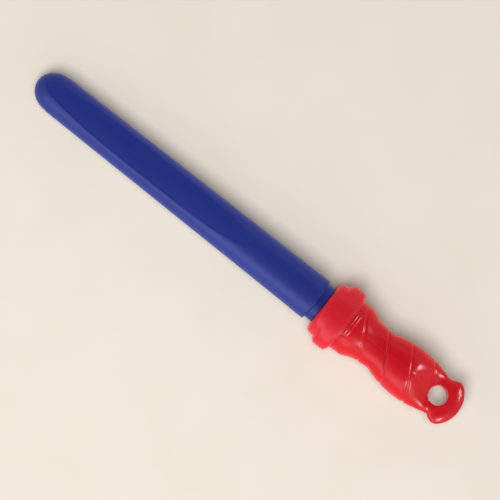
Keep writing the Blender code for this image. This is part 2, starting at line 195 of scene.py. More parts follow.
# Grip: station and half width of its outline, in millimetres
GRIP_OUTLINE = (
    (279.25, 20.3),
    (279.7, 20.2),
    (283.6, 20.1),
    (287.6, 20.1),
    (291.8, 18.7),
    (296.9, 16.6),
    (303.0, 15.9),
    (309.6, 15.4),
    (315.4, 17.0),
    (323.9, 18.9),
    (335.3, 19.7),
    (346.6, 18.7),
    (355.2, 16.7),
    (361.5, 15.3),
    (365.2, 16.5),
    (368.9, 17.7),
    (372.2, 16.7),
    (375.1, 14.0),
    (377.9, 9.6),
    (379.4, 5.2),
    (380.0, 0.6),
)
GRIP_STEP = 0.36

# The crown's height is the outline averaged over so many rings on each side
CROWN_SMOOTHING = 21

GRIP_WALL = 1.8 * MM
SKIRT_BORE = 18.1 * MM
SKIRT_GAP = 0.3 * MM
SKIRT_EDGE = 0.4 * MM
CAVITY_START_GAP = 1.5 * MM
CAVITY_RINGS = 26
CAVITY_END = 345.0 * MM
BELLY_END = 333.0 * MM
PADDLE_START = 358.5 * MM
PADDLE_END = 375.1 * MM
PADDLE_HALF_THICKNESS = 5.2 * MM
PADDLE_EDGE = 5.6 * MM
EAR_EDGE = 10.5 * MM
EAR_START = 361.0 * MM
EAR_END = 368.0 * MM
EARS = 372.0 * MM

# The paddle thins towards its end, by a share that grows as a power of the way there
PADDLE_FALL = 366.0 * MM
FALL_SHARE = 0.985
FALL_POWER = 2.3
FALL_EDGE = 0.9
FLAT_SPAN = math.radians(12)

# Hang hole
HOLE_STATION = 361.1 * MM
HOLE_RADIUS = 7.2 * MM
HOLE_FILLET = 0.7 * MM
HOLE_CUTTER_REACH = 16 * MM

# Beads, grooves and parting line
BEADS = (280.6 * MM, 282.7 * MM)
BEAD_RISE = 0.45 * MM
BEAD_HALF_WIDTH = 1.05 * MM
BEAD_SLOTS = 6
BEAD_SLOT_HALF_WIDTH = 0.8 * MM
BEAD_SLOT_EDGE = 0.5 * MM
GROOVE_COUNT = 4
GROOVE_FIRST = 292.4 * MM
GROOVE_SPACING = 20.75 * MM
GROOVE_SLANT = 0.53
GROOVE_DEPTH = 0.58 * MM
GROOVE_HALF_WIDTH = 1.5 * MM
GROOVE_CLEAR_OF_BEADS = (283.6 * MM, 286.5 * MM)
PARTING_RISE = 0.13 * MM
PARTING_HALF_WIDTH = 0.45 * MM
PARTING_STOP = 4 * MM
PARTING_FADE = 6 * MM

# Wand
WAND_SHOULDER = 243.0 * MM
WAND_SHOULDER_LENGTH = 6 * MM
WAND_EDGE = 0.45 * MM
STEM_HALF_WIDTH = 6.0 * MM
WINDOW_COUNT = 8
WINDOW_PITCH = 27.2 * MM
WINDOW_FIRST = 35.0 * MM
WINDOW_HALF_LENGTH = 12.2 * MM
WINDOW_HALF_WIDTH = 7.2 * MM
WINDOW_POWER = 0.7
RIM_TEETH = 56
POINTS_PER_TOOTH = 4
RIM_OFFSET = 1.0 * MM
RIM_RADIUS = 0.55 * MM
RIM_GAP = 0.62
RIM_SINK = 0.2 * MM
SPINE_RADIUS = 0.9 * MM
SPINE_BEFORE = 3 * MM
SPINE_END_GAP = 2 * MM

# Colours: each material drifts between two 8-bit sRGB colours
GRIP_REDS = ((221, 24, 38), (214, 21, 34))
# The collar's reds are lighter than the grip's red of the same plastic: a painted highlight standing in
# for the broad highlight along the collar's middle
COLLAR_HIGHLIT_REDS = ((229, 39, 55), (223, 35, 50))
WAND_REDS = ((220, 28, 38), (210, 22, 32))
TUBE_BLUES = ((40, 56, 147), (37, 52, 139))
FOAM_COLOURS = ((214, 209, 194), (236, 232, 220))
FLOOR_COLOURS = ((150, 144, 136), (148, 142, 133))

# Gloss
HANDLE_ROUGHNESS = 0.25
WAND_ROUGHNESS = 0.34
TUBE_ROUGHNESS = (0.36, 0.46)
FOAM_ROUGHNESS = (0.75, 0.9)
FLOOR_ROUGHNESS = 0.85
RED_SPECULAR = 0.15
BLUE_SPECULAR = 0.18
FLOOR_SPECULAR = 0.2
FOAM_CELL = 0.7 * MM

# Floor: where the guard and the dome rest on it, and how far it reaches in metres
GUARD_CONTACT = 271.0 * MM
DOME_CONTACT = 14.0 * MM
FLOOR_REACH = 6.0

# Light tent: brightness of its sides and top, and the cosines between which each of them changes
TENT_COLOUR = (1.0, 0.985, 0.965, 1)
TENT_BRIGHT_SIDE = (0.15, -0.98, -0.1)
TENT_SIDE_SPAN = (-0.5, 0.8)
TENT_GAP_SPAN = (0.4, 0.95)
TENT_BRIGHT = 2.1
TENT_DIM = 0.5
TENT_TOP = 0.12
TENT_GAP_DIRECTION = (0.0, 0.05, 1.0)

# Camera
CAMERA_TURN = math.radians(38.4)
CAMERA_TILT = math.radians(6.5)
CAMERA_DISTANCE = 1.6
SENSOR_WIDTH = 36
VIEW_WIDTH = 355 * MM
VIEW_CENTRE = 192.7 * MM
VIEW_OFFSET = 1.5 * MM


# ---------------------------------------------------------------- helpers

def ease(value):
    """Smooth step from 0 to 1."""
    t = np.clip(value, 0, 1)
    return t * t * (3 - 2 * t)


def curve_through(points, step):
    """Points about one step apart on a Catmull-Rom curve through the given points."""
    keys = np.array(points, float)
    padded = np.vstack([2 * keys[0] - keys[1], keys, 2 * keys[-1] - keys[-2]])
    found = []
    for index in range(len(keys) - 1):
        p0, p1, p2, p3 = padded[index:index + 4]
        count = max(2, math.ceil(np.linalg.norm(p2 - p1) / step))
        gaps = [max(np.linalg.norm(b - a), 1e-9) ** 0.5 for a, b in ((p0, p1), (p1, p2), (p2, p3))]
        into = (p1 - p0) / gaps[0] - (p2 - p0) / (gaps[0] + gaps[1]) + (p2 - p1) / gaps[1]
        out = (p2 - p1) / gaps[1] - (p3 - p1) / (gaps[1] + gaps[2]) + (p3 - p2) / gaps[2]
        for t in np.arange(count) / count:
            found.append(
                p1 * (2 * t**3 - 3 * t**2 + 1)
                + p2 * (3 * t**2 - 2 * t**3)
                + into * gaps[1] * (t**3 - 2 * t**2 + t)
                + out * gaps[1] * (t**3 - t**2)
            )
    found.append(keys[-1])
    return np.array(found)


def line(start, end, step):
    """Points from start up to but without end, about one step apart."""
    start, end = np.array(start, float), np.array(end, float)
    count = max(1, round(np.linalg.norm(end - start) / step))
    return [start + (end - start) * index / count for index in range(count)]


def arc(centre, radius, start, end, count=6):
    """Points of an arc in (station, radius) space, angles in degrees from +station."""
    angles = np.radians(np.linspace(start, end, count + 1))
    return [
        np.array((centre[0] + radius * math.cos(a), centre[1] + radius * math.sin(a)))
        for a in angles
    ]


def row_point(station, y, z):
    """Arrays of station and offsets from the axis, as points in the row frame."""
    return np.stack([station + TIP, y, z + AXIS_Z], axis=-1)


def turned_ring(station, reach, angle):
    """One ring round the axis.  Its distance from the axis may vary with the angle."""
    return row_point(np.full_like(angle, station), reach * np.cos(angle), reach * np.sin(angle))


def new_object(name, data):
    """An object with the given mesh, curve, light or camera, in the scene."""
    thing = bpy.data.objects.new(name, data)
    bpy.context.scene.collection.objects.link(thing)
    return thing


def skin(name, grid, sharp=40):
    """A closed mesh over rings of points, grid[ring, around].  Each end closes on a pole."""
    rings, around = grid.shape[:2]
    points = np.vstack([grid.reshape(-1, 3), grid[0].mean(0), grid[-1].mean(0)])
    ring = np.arange(rings - 1)[:, None] * around
    here = np.arange(around)[None, :]
    after = (here + 1) % around
    quads = np.stack([ring + here, ring + after, ring + around + after, ring + around + here], axis=-1)
    faces = quads.reshape(-1, 4).tolist()
    first_pole, last_pole = rings * around, rings * around + 1
    base = (rings - 1) * around
    for index in range(around):
        following = (index + 1) % around
        faces.append([first_pole, following, index])
        faces.append([last_pole, base + index, base + following])
    mesh = bpy.data.meshes.new(name)
    mesh.from_pydata(points.tolist(), [], faces)
    return finish_mesh(new_object(name, mesh), sharp)


def finish_mesh(thing, sharp=40):
    """Weld, face outwards and shade smooth with sharp corners kept."""
    work = bmesh.new()
    work.from_mesh(thing.data)
    bmesh.ops.remove_doubles(work, verts=work.verts, dist=WELD_DISTANCE)
    bmesh.ops.dissolve_degenerate(work, edges=work.edges, dist=WELD_DISTANCE)
    bmesh.ops.recalc_face_normals(work, faces=work.faces)
    work.to_mesh(thing.data)
    work.free()
    thing.data.shade_smooth()
    thing.data.set_sharp_from_angle(angle=math.radians(sharp))
    return thing


def applied(thing):
    """Replace a mesh with its evaluated one, so that no modifier is left."""
    bpy.context.view_layer.update()
    graph = bpy.context.evaluated_depsgraph_get()
    mesh = bpy.data.meshes.new_from_object(thing.evaluated_get(graph))
    thing.modifiers.clear()
    thing.data = mesh
    return thing


def cut(thing, cutter):
    """Take the cutter out of a mesh and remove the cutter."""
    step = thing.modifiers.new("cut", "BOOLEAN")
    step.operation = "DIFFERENCE"
    step.object = cutter
    applied(thing)
    bpy.data.objects.remove(cutter, do_unlink=True)
    return thing


def joined(name, things):
    """Join meshes into one object."""
    work = bmesh.new()
    for thing in things:
        work.from_mesh(thing.data)
        bpy.data.objects.remove(thing, do_unlink=True)
    mesh = bpy.data.meshes.new(name)
    work.to_mesh(mesh)
    work.free()
    return new_object(name, mesh)


def thread_rise(station, angle, reach):
    """Height of a right-handed round thread rib that fades in and out over its reach."""
    turn = (station - reach[0]) / THREAD_PITCH - angle / (2 * math.pi)
    away = np.abs((turn + 0.5) % 1 - 0.5) * THREAD_PITCH
    rib = ease(1 - away / THREAD_HALF_WIDTH)
    fade = ease((station - reach[0]) / THREAD_FADE) * ease((reach[1] - station) / THREAD_FADE)
    return THREAD_RISE * rib * fade


# ---------------------------------------------------------------- tube

def leaf_half_width(station):
    """Half the width of a panel, which is nothing beyond its two ends."""
    before = (LEAF_WIDEST - station) / (LEAF_WIDEST - LEAF_START)
    after = (station - LEAF_WIDEST) / (LEAF_END - LEAF_WIDEST)
    across = np.maximum(before, after)
    return LEAF_HALF_WIDTH * np.sqrt(np.maximum(1 - across**LEAF_POWER, 0))


def leaf_drop(station, radius, angle):
    """How far the panel lies below the plain tube, at angles round the axis."""
    width = leaf_half_width(station)
    if width <= 0:
        return np.zeros_like(angle)
    up = np.abs(np.sin(angle))
    side = np.abs(np.cos(angle))
    width = min(width, LEAF_WIDTH_LIMIT * radius)
    body_drop = radius - math.sqrt(radius * radius - width * width)
    floor_drop = LEAF_CROWN_RADIUS - math.sqrt(LEAF_CROWN_RADIUS**2 - width * width)
    centre = radius - LEAF_STEP - body_drop + floor_drop - LEAF_CROWN_RADIUS
    floor = centre * up + np.sqrt(LEAF_CROWN_RADIUS**2 - (centre * side) ** 2)
    nearby = 0.2 * MM
    slope = (leaf_half_width(station + nearby) - leaf_half_width(station - nearby)) / (2 * nearby)
    inside = (width - radius * side) / math.sqrt(1 + slope * slope)
    depth = np.maximum(radius - floor, 0)
    return depth * ease((inside + LEAF_WALL) / (2 * LEAF_WALL)) * (up > LEAF_LEAST_SINE)


def tube_angles(station, radius):
    """Angles round the axis that bunch up along the panel's outline."""
    width = float(leaf_half_width(station))
    outline = math.asin(min(width / max(radius, 1 * MM), OUTLINE_LARGEST_SINE))
    outline = max(outline, OUTLINE_LEAST_ANGLE)
    wall = min(OUTLINE_HALF_WIDTH / max(radius, 3 * MM), OUTLINE_WIDEST)
    quarter = np.concatenate([
        np.linspace(0, outline - wall, PANEL_ANGLES + 1)[:-1],
        np.linspace(outline - wall, outline + wall, OUTLINE_ANGLES + 1)[:-1],
        np.linspace(outline + wall, math.pi / 2, FLANK_ANGLES + 1)[:-1],
    ])
    right = math.pi / 2 - quarter[::-1]
    left = math.pi / 2 + quarter[1:]
    upper = np.concatenate([[0.0], right, left])
    return np.concatenate([upper, upper + math.pi])


def tube_profile():
    """(station, radius) points from the tip over the outside to the mouth and back inside."""
    turns = np.linspace(math.pi / 2, 0, DOME_RINGS + 1)
    outside = [
        np.array((DOME_LENGTH * (1 - math.sin(a)), DOME_RADIUS * math.cos(a))) for a in turns[1:]
    ]
    for share in np.linspace(0, 1, BLEND_STEPS + 1)[1:]:
        radius = DOME_RADIUS + (BODY_START_RADIUS - DOME_RADIUS) * float(ease(share))
        outside.append(np.array((DOME_LENGTH + (BODY_START - DOME_LENGTH) * share, radius)))

    def body(station):
        share = (station - BODY_START) / (BODY_END - BODY_START)
        radius = BODY_START_RADIUS + (BODY_END_RADIUS - BODY_START_RADIUS) * share
        return radius + BAND_RISE * float(ease((station - BAND_START) / BAND_SLOPE))

    leaf_end_start = LEAF_END - LEAF_END_BEFORE
    leaf_end_stop = LEAF_END + LEAF_END_AFTER
    band_edge_stop = BAND_START + BAND_EDGE_LENGTH
    marks = np.concatenate([
        np.arange(BODY_START + BODY_RINGS_AFTER_START, leaf_end_start, LEAF_RING_STEP),
        np.arange(leaf_end_start, leaf_end_stop, LEAF_END_RING_STEP),
        np.arange(leaf_end_stop, BAND_START, PLAIN_RING_STEP),
        np.arange(BAND_START, band_edge_stop, BAND_EDGE_RING_STEP),
        np.arange(band_edge_stop, BODY_END - BODY_RINGS_BEFORE_END, BAND_RING_STEP),
    ])
    outside += [np.array((station, body(station))) for station in marks]
    shoulder = body(BODY_END)
    neck_start = BODY_END + 2 * NECK_FILLET
    thread_start = NECK_STEP + NECK_STEP_LENGTH
    rim = MOUTH - MOUTH_EDGE
    outside += arc((BODY_END - NECK_FILLET, shoulder - NECK_FILLET), NECK_FILLET, 90, 0)
    outside += arc((BODY_END + NECK_FILLET, NECK_RADIUS + NECK_FILLET), NECK_FILLET, 180, 270)
    outside += line((neck_start, NECK_RADIUS), (NECK_STEP, NECK_RADIUS), step=0.7 * MM)
    outside += line((NECK_STEP, NECK_RADIUS), (thread_start, THREAD_ROOT), step=0.2 * MM)
    outside += line((thread_start, THREAD_ROOT), (rim, THREAD_ROOT), THREAD_RING_STEP)
    outside += arc((rim, THREAD_ROOT - MOUTH_EDGE), MOUTH_EDGE, 90, 0)
    inside = arc((rim, MOUTH_BORE + MOUTH_EDGE), MOUTH_EDGE, 0, -90)
    bore_end = (BODY_END + INNER_SLOPE, MOUTH_BORE)
    inner_body_end = (BODY_END - INNER_SLOPE, BODY_END_RADIUS - TUBE_WALL)
    inner_body_start = (BODY_START, BODY_START_RADIUS - TUBE_WALL)
    inside += line((MOUTH - BORE_RINGS_AFTER_MOUTH, MOUTH_BORE), bore_end, INSIDE_RING_STEP)
    inside += line(bore_end, inner_body_end, step=0.6 * MM)
    inside += line(inner_body_end, inner_body_start, INSIDE_RING_STEP)
    inside += [
        np.array((
            DOME_LENGTH - (DOME_LENGTH - TUBE_WALL) * math.sin(a),
            (DOME_RADIUS - TUBE_WALL) * math.cos(a),
        ))
        for a in np.linspace(0, math.pi / 2, INNER_DOME_RINGS + 1)[:-1]
    ]
    return np.array(outside), np.array(inside)


def make_tube():
    """Outside and inside of the tube, with the panels, the neck's thread and the mould seam."""
    outside, inside = tube_profile()
    rings = []
    for index, (station, radius) in enumerate(np.vstack([outside, inside])):
        outer = index < len(outside)
        plain = radius if outer else radius + TUBE_WALL
        angle = tube_angles(station, plain)
        reach = radius - leaf_drop(station, plain, angle)
        if outer and station > NECK_STEP:
            reach = reach + thread_rise(station, angle, NECK_THREAD)
        if outer and SEAM_START < station < BODY_END - SEAM_CLEAR_OF_SHOULDER:
            seam_away = np.abs(np.sin(angle)) * radius
            reach = reach + SEAM_RISE * ease(1 - seam_away / SEAM_HALF_WIDTH)
        rings.append(turned_ring(station, reach, angle))
    return skin("tube_moulding", np.array(rings), sharp=50)


# ---------------------------------------------------------------- collar and seal

def fine_angles(count):
    """Even angles with extra ones beside the parting lines at the top and bottom."""
    extras = np.radians([-0.9, -0.6, -0.3, 0.3, 0.6, 0.9])
    even = np.arange(count) * 2 * math.pi / count
    near = np.concatenate([math.pi / 2 + extras, 3 * math.pi / 2 + extras])
    return np.sort(np.unique(np.round(np.concatenate([even, near]), 6)))


def parting_rise(reach, angle):
    """Height of the parting line along the top and bottom of the red pieces."""
    away = np.abs(np.cos(angle)) * reach
    return PARTING_RISE * ease(1 - away / PARTING_HALF_WIDTH)


def make_collar():
    """Boss, web and threaded bore, then the outside with its guard, then the spigot."""
    angle = fine_angles(AROUND)
    rings = []

    def ring(station, reach):
        rings.append(turned_ring(station, reach, angle))

    lip_end = COLLAR_START + COLLAR_LIP_LENGTH
    bore_start = COLLAR_START + COLLAR_BORE_DEPTH
    edge_end = COLLAR_START + COLLAR_EDGE
    inside = line((BOSS_START, POLE_RADIUS), (BOSS_START, BOSS_RADIUS - BOSS_EDGE), step=2 * MM)
    inside += arc((BOSS_START + BOSS_EDGE, BOSS_RADIUS - BOSS_EDGE), BOSS_EDGE, 180, 90)
    inside += line((BOSS_START + BOSS_STRAIGHT, BOSS_RADIUS), (WEB_START, BOSS_RADIUS), step=1.5 * MM)
    inside += line((WEB_START, BOSS_RADIUS), (WEB_START, COLLAR_BORE), step=1.5 * MM)
    inside += line((WEB_START, COLLAR_BORE), (bore_start, COLLAR_BORE), step=0.2 * MM)
    inside += line((bore_start, COLLAR_BORE), (lip_end, COLLAR_LIP), step=0.2 * MM)
    inside += line((lip_end, COLLAR_LIP), (edge_end, COLLAR_LIP), step=0.3 * MM)
    inside += arc((edge_end, COLLAR_LIP + COLLAR_EDGE), COLLAR_EDGE, 270, 180)
    for station, radius in inside:
        reach = np.full_like(angle, radius)
        if radius > COLLAR_LIP:
            reach = reach - thread_rise(station, angle, COLLAR_THREAD)
        ring(station, reach)
    for station, radius, guard in curve_through(COLLAR_OUTLINE, COLLAR_STEP) * MM:
        reach = radius + guard * np.abs(np.cos(angle)) ** GUARD_SHARPNESS
        ring(station, reach + parting_rise(reach, angle))
    outer_end = COLLAR_OUTLINE[-1][0] * MM
    back = line((outer_end, SPIGOT_RADIUS), (SPIGOT_END - SPIGOT_EDGE, SPIGOT_RADIUS), step=1 * MM)
    back += arc((SPIGOT_END - SPIGOT_EDGE, SPIGOT_RADIUS - SPIGOT_EDGE), SPIGOT_EDGE, 90, 0)
    back += line((SPIGOT_END, SPIGOT_BORE), (WEB_END, SPIGOT_BORE), step=2 * MM)
    back += line((WEB_END, SPIGOT_BORE), (WEB_END, POLE_RADIUS), step=3 * MM)
    for station, radius in back:
        ring(station, np.full_like(angle, radius))
    collar = skin("collar_moulding", np.array(rings))

    start = BOSS_START - CUTTER_MARGIN
    size = Vector((SOCKET_END - start, 2 * (STEM_HALF_WIDTH + SOCKET_GAP), WAND_HIGH.z - WAND_LOW.z))
    size.z += 2 * SOCKET_GAP
    centre = Vector((TIP + (SOCKET_END + start) / 2, 0, AXIS_Z))
    work = bmesh.new()
    bmesh.ops.create_cube(work, size=1, matrix=Matrix.Translation(centre) @ Matrix.Diagonal((*size, 1)))
    mesh = bpy.data.meshes.new("socket_cutter")
    work.to_mesh(mesh)
    work.free()
    cut(collar, new_object("socket_cutter", mesh))
    return finish_mesh(collar)


def make_seal():
    """Foam ring with softly rounded edges."""
    outer = (SEAL_HIGH.y - SEAL_LOW.y) / 2
    start, end = SEAL_LOW.x - TIP, SEAL_HIGH.x - TIP
    profile = []
    corners = ((start, SEAL_BORE, 270), (start, outer, 180), (end, outer, 90), (end, SEAL_BORE, 0))
    for station, radius, first in corners:
        centre_station = station + SEAL_EDGE * (1 if station == start else -1)
        centre_radius = radius + SEAL_EDGE * (1 if radius == SEAL_BORE else -1)
        profile += arc((centre_station, centre_radius), SEAL_EDGE, first, first - 90, 4)
    angle = np.arange(SEAL_AROUND) * 2 * math.pi / SEAL_AROUND
    grid = np.array([turned_ring(station, radius, angle) for station, radius in profile])
    rings, around = grid.shape[:2]
    faces = []
    for ring_index in range(rings):
        below = (ring_index + 1) % rings
        for index in range(around):
            after = (index + 1) % around
            faces.append([
                ring_index * around + index, ring_index * around + after,
                below * around + after, below * around + index,
            ])
    mesh = bpy.data.meshes.new("seal_ring")
    mesh.from_pydata(grid.reshape(-1, 3).tolist(), [], faces)
    return finish_mesh(new_object("seal_ring", mesh), sharp=60)


# ---------------------------------------------------------------- grip

def grip_sections():
    """(station, half width) along the grip, close together."""
    return curve_through(GRIP_OUTLINE, GRIP_STEP) * MM


def grip_ring(station, width, height, angle, inset=0.0):
    """Offsets y and z of one ring: round at the belly, flat with rounded edges at the paddle."""
    flatness = float(ease((station - BELLY_END) / (PADDLE_START - BELLY_END)))
    height += (PADDLE_HALF_THICKNESS - height) * flatness
    ear_share = float(ease((station - EAR_START) / (EAR_END - EAR_START)))
    paddle_edge = PADDLE_EDGE + (EAR_EDGE - PADDLE_EDGE) * ear_share
    edge = width + (paddle_edge - width) * flatness
    if station > PADDLE_FALL:
        across = min((station - PADDLE_FALL) / (LENGTH - PADDLE_FALL), 1)
        height *= math.sqrt(1 - FALL_SHARE * across**FALL_POWER)
        edge = min(edge, FALL_EDGE * width)
    side = math.pi / 2 - np.abs(math.pi / 2 - np.arccos(np.cos(angle)))
    flat_share = np.minimum((math.pi / 2 - side) / FLAT_SPAN, 1)
    stretch = 1 + flatness * FLAT_SPAN / (math.pi / 2 - FLAT_SPAN)
    edge_angle = np.minimum(side * stretch, math.pi / 2)
    reach = (width - edge) * flat_share + (edge - inset) * np.cos(edge_angle)
    rise = (height - inset) * np.sin(edge_angle)
    return np.copysign(reach, np.cos(angle)), np.copysign(rise, np.sin(angle))


def grip_relief(station, width, y, z):
    """Beads and parting line above the skin and grooves below it, at points of one ring."""
    angle = np.arctan2(z, y)
    relief = np.zeros_like(angle)
    for bead in BEADS:
        relief += BEAD_RISE * ease(1 - abs(station - bead) / BEAD_HALF_WIDTH)
    slot_turn = angle / (2 * math.pi) * BEAD_SLOTS
    slot_away = np.abs((slot_turn + 0.5) % 1 - 0.5) * 2 * math.pi * width / BEAD_SLOTS
    relief *= ease((slot_away - BEAD_SLOT_HALF_WIDTH) / BEAD_SLOT_EDGE)
    first_clear, all_clear = GROOVE_CLEAR_OF_BEADS
    fade = float(ease((station - first_clear) / (all_clear - first_clear)))
    for index in range(GROOVE_COUNT):
        middle = GROOVE_FIRST + GROOVE_SPACING * index - GROOVE_SLANT * y
        away = np.abs(station - middle) / math.sqrt(1 + GROOVE_SLANT**2)
        relief -= GROOVE_DEPTH * fade * ease(1 - away / GROOVE_HALF_WIDTH)
    local = np.sqrt(y * y + z * z)
    parting_end = HOLE_STATION - HOLE_RADIUS - PARTING_STOP
    relief += float(ease((parting_end - station) / PARTING_FADE)) * parting_rise(local, angle)
    return relief


def make_grip():
    """The grip's skin over its hollow.  The crown is smoother along the grip than its outline."""
    angle = fine_angles(AROUND)
    rings = []
    sections = grip_sections()
    stations, widths = sections[:, 0], sections[:, 1]
    window = 2 * CROWN_SMOOTHING + 1
    padded = np.pad(widths, CROWN_SMOOTHING, "edge")
    heights = np.convolve(padded, np.full(window, 1 / window), "valid")

    def ring(station, y, z):
        rings.append(row_point(np.full_like(angle, station), y, z))

    cavity_start = SPIGOT_END + CAVITY_START_GAP
    skirt_end = SPIGOT_END + SKIRT_GAP
    ring(CAVITY_END, POLE_RADIUS * np.cos(angle), POLE_RADIUS * np.sin(angle))
    for share in np.linspace(0, 1, CAVITY_RINGS):
        station = CAVITY_END + (cavity_start - CAVITY_END) * share
        width, height = (np.interp(station, stations, values) for values in (widths, heights))
        ring(station, *grip_ring(station, width, height, angle, GRIP_WALL))
    inside = [
        (cavity_start, SPIGOT_BORE),
        (skirt_end, SPIGOT_BORE),
        (skirt_end, SKIRT_BORE),
        (stations[0], SKIRT_BORE),
        (stations[0], widths[0] - SKIRT_EDGE),
    ]
    for station, radius in inside:
        ring(station, radius * np.cos(angle), radius * np.sin(angle))
    for station, width, height in zip(stations, widths, heights):
        y, z = grip_ring(station, width, height, angle)
        relief = grip_relief(station, width, y, z)
        if station > PADDLE_END:
            relief = np.zeros_like(relief)
        local = np.sqrt(y * y + z * z)
        ring(station, y * (1 + relief / local), z * (1 + relief / local))
    grip = skin("grip_moulding", np.array(rings), sharp=45)
    cut(grip, hole_cutter())
    return finish_mesh(grip, sharp=45)


def hole_cutter():
    """Turned about the vertical: straight in the middle and flared at both faces of the paddle."""
    face = PADDLE_HALF_THICKNESS
    flare = [
        (HOLE_RADIUS + HOLE_FILLET * (1 - math.cos(a)), face - HOLE_FILLET * (1 - math.sin(a)))
        for a in np.linspace(0, math.pi / 2, HOLE_FILLET_STEPS + 1)
    ]
    upper = [(HOLE_RADIUS + HOLE_FILLET, HOLE_CUTTER_REACH)] + flare[::-1]
    profile = upper + [(radius, -height) for radius, height in reversed(upper)]
    angle = np.arange(HOLE_AROUND) * 2 * math.pi / HOLE_AROUND
    grid = []
    for radius, height in profile:
        x = TIP + HOLE_STATION + radius * np.cos(angle)
        z = np.full_like(angle, AXIS_Z + height)
        grid.append(np.stack([x, radius * np.sin(angle), z], axis=-1))
    return skin("hole_cutter", np.array(grid))


# ---------------------------------------------------------------- wand

def window_outline(centre, count, grow=0.0):
    """(station, offset) points round one window, which is a rounded rectangle."""
    angle = np.arange(count) * 2 * math.pi / count
    along = np.sign(np.cos(angle)) * np.abs(np.cos(angle)) ** WINDOW_POWER
    across = np.sign(np.sin(angle)) * np.abs(np.sin(angle)) ** WINDOW_POWER
    return np.stack([
        centre + (WINDOW_HALF_LENGTH + grow) * along,
        (WINDOW_HALF_WIDTH + grow) * across,
    ], axis=-1)


def curve_object(name, lines, closed, **settings):
    """Mesh of a curve through lines of (x, y), (x, y, z) or (x, y, z, radius) points."""
    curve = bpy.data.curves.new(name, "CURVE")
    for key, value in settings.items():
        setattr(curve, key, value)
    for points in lines:
        spline = curve.splines.new("POLY")
        spline.points.add(len(points) - 1)
        for target, point in zip(spline.points, points):
            target.co = (point[0], point[1], point[2] if len(point) > 2 else 0, 1)
            if len(point) > 3:
                target.radius = point[3]
        spline.use_cyclic_u = closed
    thing = new_object(name, curve)
    bpy.context.view_layer.update()
    mesh = bpy.data.meshes.new_from_object(thing.evaluated_get(bpy.context.evaluated_depsgraph_get()))
    bpy.data.objects.remove(thing, do_unlink=True)
    return new_object(name, mesh)


def make_wand():
    """Flat plate with rounded edges, a ribbed rim round each window and a ribbed stem."""
    start = WAND_LOW.x - TIP
    end = WAND_HIGH.x - TIP
    half = (WAND_HIGH.y - WAND_LOW.y) / 2
    thick = WAND_HIGH.z - WAND_LOW.z
    ends = np.linspace(math.pi / 2, 3 * math.pi / 2, WAND_END_STEPS + 1)
    shoulder = []
    for share in np.linspace(0, 1, BLEND_STEPS + 1):
        width = half + (STEM_HALF_WIDTH - half) * float(ease(share))
        shoulder.append((WAND_SHOULDER + WAND_SHOULDER_LENGTH * share, width))
    outline = [(start + half * (1 + math.cos(a)), half * math.sin(a)) for a in ends]
    outline += [(station, -width) for station, width in shoulder]
    outline += [(end, -STEM_HALF_WIDTH), (end, STEM_HALF_WIDTH)]
    outline += shoulder[::-1]
    centres = [WINDOW_FIRST + WINDOW_PITCH * index for index in range(WINDOW_COUNT)]
    lines = [outline] + [window_outline(centre, WINDOW_AROUND) for centre in centres]
    plate = curve_object(
        "plate", lines, True, dimensions="2D", fill_mode="BOTH",
        extrude=thick / 2 - WAND_EDGE, bevel_depth=WAND_EDGE, bevel_resolution=3, offset=-WAND_EDGE,
    )
    rims = []
    spines = []
    for centre in centres:
        ring = window_outline(centre, RIM_TEETH * POINTS_PER_TOOTH, RIM_OFFSET)
        for side in (-1, 1):
            path = []
            for index, (x, y) in enumerate(ring):
                tooth = 1.0 if index % POINTS_PER_TOOTH in (0, 1) else RIM_GAP
                path.append((x, y, side * (thick / 2 - RIM_SINK), tooth))
            rims.append(path)
    for side in (-1, 1):
        height = side * thick / 2
        spines.append([
            (WAND_SHOULDER - SPINE_BEFORE, 0, height),
            (BOSS_START - SPINE_END_GAP, 0, height),
        ])
    rim = curve_object("rims", rims, True, dimensions="3D", bevel_depth=RIM_RADIUS, bevel_resolution=2)
    spine = curve_object(
        "spine", spines, False, dimensions="3D",
        bevel_depth=SPINE_RADIUS, bevel_resolution=3, use_fill_caps=True,
    )
    wand = joined("wand_moulding", [plate, rim, spine])
    wand.data.transform(Matrix.Translation((TIP, 0, AXIS_Z)))
    return finish_mesh(wand, sharp=50)


# ---------------------------------------------------------------- materials

def srgb(values):
    """Linear RGBA of an 8-bit sRGB colour, by the standard's curve."""
    linear = []
    for value in values:
        share = value / 255
        linear.append(share / 12.92 if share <= 0.04045 else ((share + 0.055) / 1.055) ** 2.4)
    return linear + [1]


